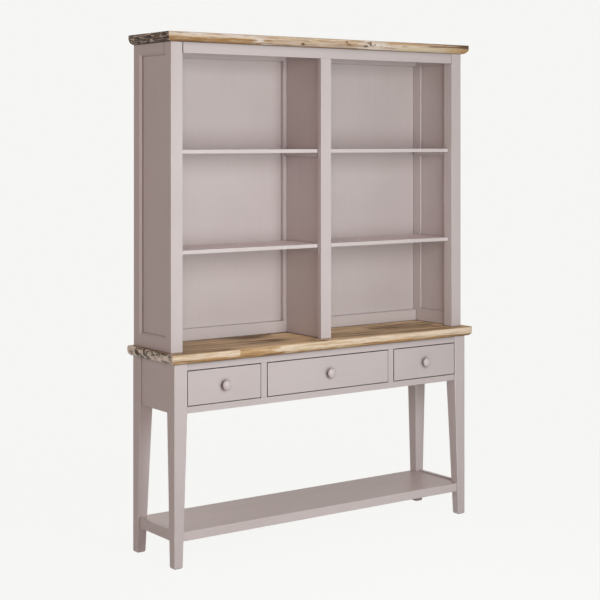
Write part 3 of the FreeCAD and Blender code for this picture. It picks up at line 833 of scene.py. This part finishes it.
class CONSOLE_OT_hutch_shelves(bpy.types.Operator):
    """Paint the hutch shelves and the cleats under them"""

    bl_idname = "console_hutch.hutch_shelves"
    bl_label = "Paint the shelves"

    def execute(self, context):
        paint = context.scene.console_hutch.paint
        # Lighter than the paint and lighter again on upper faces: painted light on the shelves
        shelves = paint_material(paint, "paint_shelves", "lengthwise", paint.shelf_lit_colour, (1.2, 1.13, 1.14))
        dress(hutch_shelf_boards, shelves)
        dress(["shelf_cleats"], bpy.data.materials["paint_crosswise"])
        soften(hutch_shelf_boards + ["shelf_cleats"], paint.softness)
        return {"FINISHED"}


class CONSOLE_OT_table_top(bpy.types.Operator):
    """Make the wooden table top from planks, with its moulded edge"""

    bl_idname = "console_hutch.table_top"
    bl_label = "Make the table top"

    def execute(self, context):
        wood = context.scene.console_hutch.hardwood
        low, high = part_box("table_top")
        count = round((high.y - low.y) / wood.plank_width)
        joints = [wood.plank_width * (index - count // 2) for index in range(count)]
        joints = [joint for joint in joints if low.y + 0.03 < joint < high.y - 0.01]
        piece = moulded_board(
            "hardwood_top", "table_top", wood.top_ease, wood.top_ovolo, wood.top_corner, wood.wear_depth,
            joints, wood.joint_depth)
        look = {
            "lime_low": -0.46,
            "lime_least": 0.5,
            "lime_most": 0.97,
            "cracks": 0.25,
            "limed": tuple(wood.limed),
            "limed_thin": tuple(wood.pale),
            "upper_z": high.z,
            "bare_blend": 0.005,
            "crisp_start": True,
            "bare_lengths": [(-0.446, -0.235, 0.08, 0.05, 0.16)],
            "streaks": [
                (-0.33, -0.27, 0.760, 0.7675, wood.brown, 0.8),
                (0.62, 0.76, 0.758, 0.773, wood.brown, 0.75),
                (0.44, 0.76, 0.777, 0.796, shade(wood.limed, 1.15), 0.45),
            ],
            "lime_wander": 0.14,
            "lime_drops": [],
            # The lighter patches inside the hutch's bays are painted light
            "patches": [
                (-0.74, -0.52, -0.18, -0.125, shade(wood.tan, 0.8), 0.4),
                (-0.45, -0.08, -0.18, -0.115, shade(wood.tan, 1.5), 0.7),
                (-0.16, -0.03, -0.10, 0.10, shade(wood.tan, 1.4), 0.65),
                (-0.64, -0.36, -0.10, 0.12, shade(wood.tan, 1.25), 0.45),
                (0.16, 0.34, -0.05, 0.10, shade(wood.tan, 1.25), 0.4),
                (0.35, 0.74, -0.18, -0.125, wood.brown, 0.6),
            ],
            "ovolo_shade": 0.1,
            "mottle_cells": (22.0, 18.0, 34.0),
            "mottle_swirl": 1.2,
            "end_colours": [
                (0.41, (0.035, 0.023, 0.015)), (0.45, (0.17, 0.14, 0.10)), (0.495, (0.42, 0.39, 0.31)),
                (0.56, (0.95, 0.87, 0.75))],
            "knots": [
                ((-0.744, 0.097, 0.784), 0.022, (1.0, 0.8, 1.1), 1.0),
                ((-0.744, 0.068, 0.799), 0.010, (1.0, 0.24, 1.2), 0.9),
                ((-0.740, 0.062, 0.765), 0.009, (1.0, 0.5, 1.2), 0.85),
                ((-0.744, -0.022, 0.784), 0.010, (1.0, 0.7, 1.2), 0.75),
                ((-0.744, -0.057, 0.789), 0.008, (1.0, 0.7, 1.0), 0.55),
                ((-0.744, -0.115, 0.768), 0.013, (1.0, 0.7, 1.3), 0.7),
                ((-0.744, 0.138, 0.776), 0.017, (1.0, 0.7, 1.0), 0.5),
            ],
        }
        piece.data.materials.append(hardwood_material("hardwood_top", wood, look))
        return {"FINISHED"}


class CONSOLE_OT_cornice(bpy.types.Operator):
    """Make the wooden cornice board with its moulded edge"""

    bl_idname = "console_hutch.cornice"
    bl_label = "Make the cornice"

    def execute(self, context):
        wood = context.scene.console_hutch.hardwood
        piece = moulded_board(
            "hardwood_cornice", "cornice", wood.cornice_ease, wood.cornice_ovolo, wood.cornice_corner,
            wood.wear_depth, [-0.03, 0.07], wood.joint_depth)
        look = {
            "lime_low": -0.18,
            "lime_least": 0.5,
            "lime_most": 0.95,
            "cracks": 0.6,
            "limed": (0.77, 0.69, 0.61),
            "limed_thin": (0.69, 0.575, 0.45),
            "bare_lengths": [(-0.34, 0.17, 0.45, 0.05, 0.0), (0.28, 0.78, 0.75, 0.01, 0.0)],
            "streaks": [
                (0.30, 0.80, 1.9890, 1.9985, wood.golden, 0.65),
                (0.45, 0.80, 1.9955, 2.0020, wood.dark, 0.7),
                (0.36, 0.70, 1.9640, 1.9820, (0.66, 0.55, 0.33), 0.5),
                (0.52, 0.76, 1.9835, 1.9905, (0.13, 0.07, 0.055), 0.75),
                (0.69, 0.80, 1.9820, 2.0020, wood.dark, 0.8),
                (0.62, 0.80, 1.9600, 1.9820, wood.golden, 0.5),
            ],
            "lime_wander": 0.05,
            "lime_drops": [(-0.325, 0.70, 0.75)],
            "bare_blend": 0.06,
            "crisp_start": False,
            "patches": [],
            "ovolo_shade": 0.5,
            "mottle_cells": (60.0, 18.0, 190.0),
            "mottle_swirl": 0.5,
            "end_colours": [
                (0.42, (0.014, 0.010, 0.008)), (0.49, (0.06, 0.043, 0.033)), (0.54, (0.16, 0.12, 0.09)),
                (0.61, (0.66, 0.57, 0.45))],
            "knots": [
                ((-0.744, -0.048, 1.984), 0.022, (1.0, 0.6, 1.0), 0.75),
                ((-0.744, -0.110, 1.986), 0.012, (1.0, 0.6, 1.0), 0.5),
                ((-0.128, -0.143, 1.972), 0.0095, (0.6, 1.0, 1.2), 1.0),
                ((0.085, -0.1455, 1.989), 0.006, (0.7, 1.0, 0.7), 0.7),
                ((0.098, -0.1455, 1.979), 0.006, (0.4, 1.0, 1.0), 0.65),
                ((0.183, -0.1440, 1.976), 0.010, (0.5, 1.0, 1.4), 0.85),
                ((0.196, -0.1455, 1.989), 0.007, (0.6, 1.0, 1.2), 0.6),
                ((0.207, -0.1455, 1.985), 0.008, (1.0, 1.0, 0.6), 0.85),
                ((0.219, -0.1455, 1.978), 0.006, (0.5, 1.0, 1.2), 0.6),
                ((0.230, -0.1455, 1.983), 0.005, (0.8, 1.0, 1.0), 0.7),
            ],
        }
        piece.data.materials.append(hardwood_material("hardwood_cornice", wood, look))
        return {"FINISHED"}


class CONSOLE_OT_drawers(bpy.types.Operator):
    """Paint the drawer fronts and finish the boxes behind them"""

    bl_idname = "console_hutch.drawers"
    bl_label = "Finish the drawers"

    def execute(self, context):
        bare = context.scene.console_hutch.bare
        crosswise = bare_wood_material("box_wood_crosswise", bare.box_wood, "crosswise")
        lengthwise = bare_wood_material("box_wood_lengthwise", bare.box_wood, "lengthwise")
        for drawer in drawers:
            dress([drawer + "_front"], bpy.data.materials["paint_frieze"])
            soften([drawer + "_front"], context.scene.console_hutch.paint.softness)
            dress([drawer + "_sides", drawer + "_bottom"], crosswise)
            dress([drawer + "_back"], lengthwise)
        return {"FINISHED"}


class CONSOLE_OT_knobs(bpy.types.Operator):
    """Paint the turned drawer knobs"""

    bl_idname = "console_hutch.knobs"
    bl_label = "Paint the knobs"

    def execute(self, context):
        paint = context.scene.console_hutch.paint
        # Painted shadow near the drawer front
        material = paint_material(paint, "paint_turned", "turned", paint.colour, shadow_halo=0.02)
        dress([drawer + "_knob" for drawer in drawers], material)
        return {"FINISHED"}


class CONSOLE_OT_fixings(bpy.types.Operator):
    """Finish the runners, kickers, dowels and screws"""

    bl_idname = "console_hutch.fixings"
    bl_label = "Finish the runners and fixings"

    def execute(self, context):
        bare = context.scene.console_hutch.bare
        dress(["drawer_runners", "drawer_kickers"], bpy.data.materials["box_wood_crosswise"])
        dress(["hutch_dowels"], bare_wood_material("dowel_wood", bare.dowel_wood, "upright"))
        screws = ["top_fixing_screws"] + [drawer + "_knob_screw" for drawer in drawers]
        dress(screws, steel_material(bare.steel))
        return {"FINISHED"}


class CONSOLE_OT_studio(bpy.types.Operator):
    """Set up the floor, the backdrop, the lamps and the camera"""

    bl_idname = "console_hutch.studio"
    bl_label = "Set up the studio"

    def execute(self, context):
        studio = context.scene.console_hutch.studio
        make_floor(studio)
        make_world(context.scene, studio)
        for name, place, size, power, colour in softboxes:
            make_softbox(name, place, size, getattr(studio, power), getattr(studio, colour))
        make_camera(context.scene, studio)
        context.scene.view_settings.view_transform = "Standard"
        return {"FINISHED"}


# Studio, in metres from the middle of the piece's footprint
# A softbox has a name, place, size, and the settings for its power and colour
softboxes = (
    ("front_softbox", (-0.2, -2.4, 1.5), (1.2, 1.9), "key_power", "key_colour"),
    ("camera_softbox", (-3.0, -4.5, 1.8), (1.6, 2.2), "fill_power", "fill_colour"),
    ("left_softbox", (-4.0, -0.3, 2.5), (2.0, 2.4), "side_power", "side_colour"),
    ("right_softbox", (4.4, 0.9, 2.2), (2.0, 2.4), "right_power", "side_colour"),
    ("back_softbox", (0.6, 4.4, 2.6), (2.4, 2.4), "back_power", "side_colour"),
)
softbox_aim = (0.0, 0.0, 1.1)
floor_half = 30.0
floor_bounce = (0.75, 0.75, 0.74)
shadow_near, shadow_far = 0.9, 2.4
glow_near, glow_far = 1.03, 1.0
camera_place = (-3.5190, -4.8606, 1.5939)
camera_turn = -35.57
camera_shift = -0.266
sensor_width = 36.0


def seen_directly(tree):
    """1 for rays that show the backdrop itself: from the camera, in gloss or through glass."""
    path = put(tree, "LightPath", {})
    share = arithmetic(tree, "MAXIMUM", path.outputs["Is Camera Ray"], path.outputs["Is Glossy Ray"])
    return arithmetic(tree, "MAXIMUM", share, path.outputs["Is Transmission Ray"])


def make_floor(studio):
    """Plain pale floor that keeps a soft shadow and fades into the backdrop."""
    mesh = bpy.data.meshes.new("studio_floor")
    corners = [(x * floor_half, y * floor_half, 0) for x, y in ((-1, -1), (1, -1), (1, 1), (-1, 1))]
    mesh.from_pydata(corners, [], [(0, 1, 2, 3)])
    floor = new_object("studio_floor", mesh)
    material, tree, shader = new_material("studio_floor")
    tree.nodes.remove(shader)
    places = object_places(tree)["Object"]
    distance = put(tree, "VectorMath", {0: places}, operation="LENGTH").outputs[1]
    own = ranged(tree, distance, shadow_near, shadow_far, studio.shadow_share, 0.0)
    plain = put(tree, "BsdfDiffuse", {"Color": (*floor_bounce, 1)})
    white = put(tree, "BsdfDiffuse", {"Color": (1, 1, 1, 1)})
    level = ranged(tree, distance, shadow_near, shadow_far, glow_near, glow_far)
    glow = put(tree, "Emission", {"Color": (*studio.backdrop, 1), "Strength": level})
    shown = put(tree, "MixShader", {0: own, 1: glow.outputs[0], 2: white.outputs[0]})
    inputs = {0: seen_directly(tree), 1: plain.outputs[0], 2: shown.outputs[0]}
    floor_shader = put(tree, "MixShader", inputs)
    output = next(node for node in tree.nodes if node.type == "OUTPUT_MATERIAL")
    tree.links.new(floor_shader.outputs[0], output.inputs["Surface"])
    tidy_nodes(tree)
    mesh.materials.append(material)


def make_world(scene, studio):
    """Backdrop colour for what is seen, and soft ambient light for the rest."""
    world = bpy.data.worlds.get("studio_world") or bpy.data.worlds.new("studio_world")
    world.use_nodes = True
    tree = world.node_tree
    tree.nodes.clear()
    ambient = put(tree, "Background", {"Color": (*studio.ambient, 1), "Strength": 1.0})
    backdrop = put(tree, "Background", {"Color": (*studio.backdrop, 1), "Strength": 1.0})
    inputs = {0: seen_directly(tree), 1: ambient.outputs[0], 2: backdrop.outputs[0]}
    both = put(tree, "MixShader", inputs)
    put(tree, "OutputWorld", {"Surface": both.outputs[0]})
    tidy_nodes(tree)
    scene.world = world


def make_softbox(name, place, size, power, colour):
    """Softbox aimed at the middle of the piece."""
    lamp = bpy.data.lights.new(name, "AREA")
    lamp.shape = "RECTANGLE"
    lamp.size, lamp.size_y = size
    lamp.energy = power
    lamp.color = colour
    softbox = new_object(name, lamp)
    softbox.location = place
    aim = Vector(softbox_aim) - softbox.location
    softbox.rotation_euler = aim.to_track_quat("-Z", "Y").to_euler()


def make_camera(scene, studio):
    """Level camera, which keeps the upright edges upright."""
    lens = bpy.data.cameras.new("photo_camera")
    lens.sensor_width = sensor_width
    lens.lens = studio.lens
    lens.shift_y = camera_shift
    lens.clip_end = 200.0
    camera = new_object("photo_camera", lens)
    camera.location = camera_place
    camera.rotation_euler = (math.radians(90), 0, math.radians(camera_turn))
    scene.camera = camera


class CONSOLE_PT_panel(bpy.types.Panel):
    """Lists the steps that dress the console table with hutch"""

    bl_idname = "CONSOLE_PT_panel"
    bl_label = "Console table with hutch"
    bl_space_type = "VIEW_3D"
    bl_region_type = "UI"
    bl_category = "Console table"

    def draw(self, context):
        for step in steps:
            self.layout.operator(step.bl_idname)


steps = (
    CONSOLE_OT_table_frame,
    CONSOLE_OT_hutch_frame,
    CONSOLE_OT_hutch_shelves,
    CONSOLE_OT_table_top,
    CONSOLE_OT_cornice,
    CONSOLE_OT_drawers,
    CONSOLE_OT_knobs,
    CONSOLE_OT_fixings,
    CONSOLE_OT_studio,
)
classes = (
    PaintSettings, HardwoodSettings, BareSettings, StudioSettings, ConsoleSettings, *steps, CONSOLE_PT_panel,
)


def register():
    for entry in classes:
        bpy.utils.register_class(entry)
    bpy.types.Scene.console_hutch = bpy.props.PointerProperty(
        type=ConsoleSettings, name="Console table with hutch",
        description="Sizes and colours of the finished piece")


def unregister():
    del bpy.types.Scene.console_hutch
    for entry in reversed(classes):
        bpy.utils.unregister_class(entry)


def main():
    register()
    for step in steps:
        group, name = step.bl_idname.split(".")
        getattr(getattr(bpy.ops, group), name)()


if __name__ == "__main__":
    main()
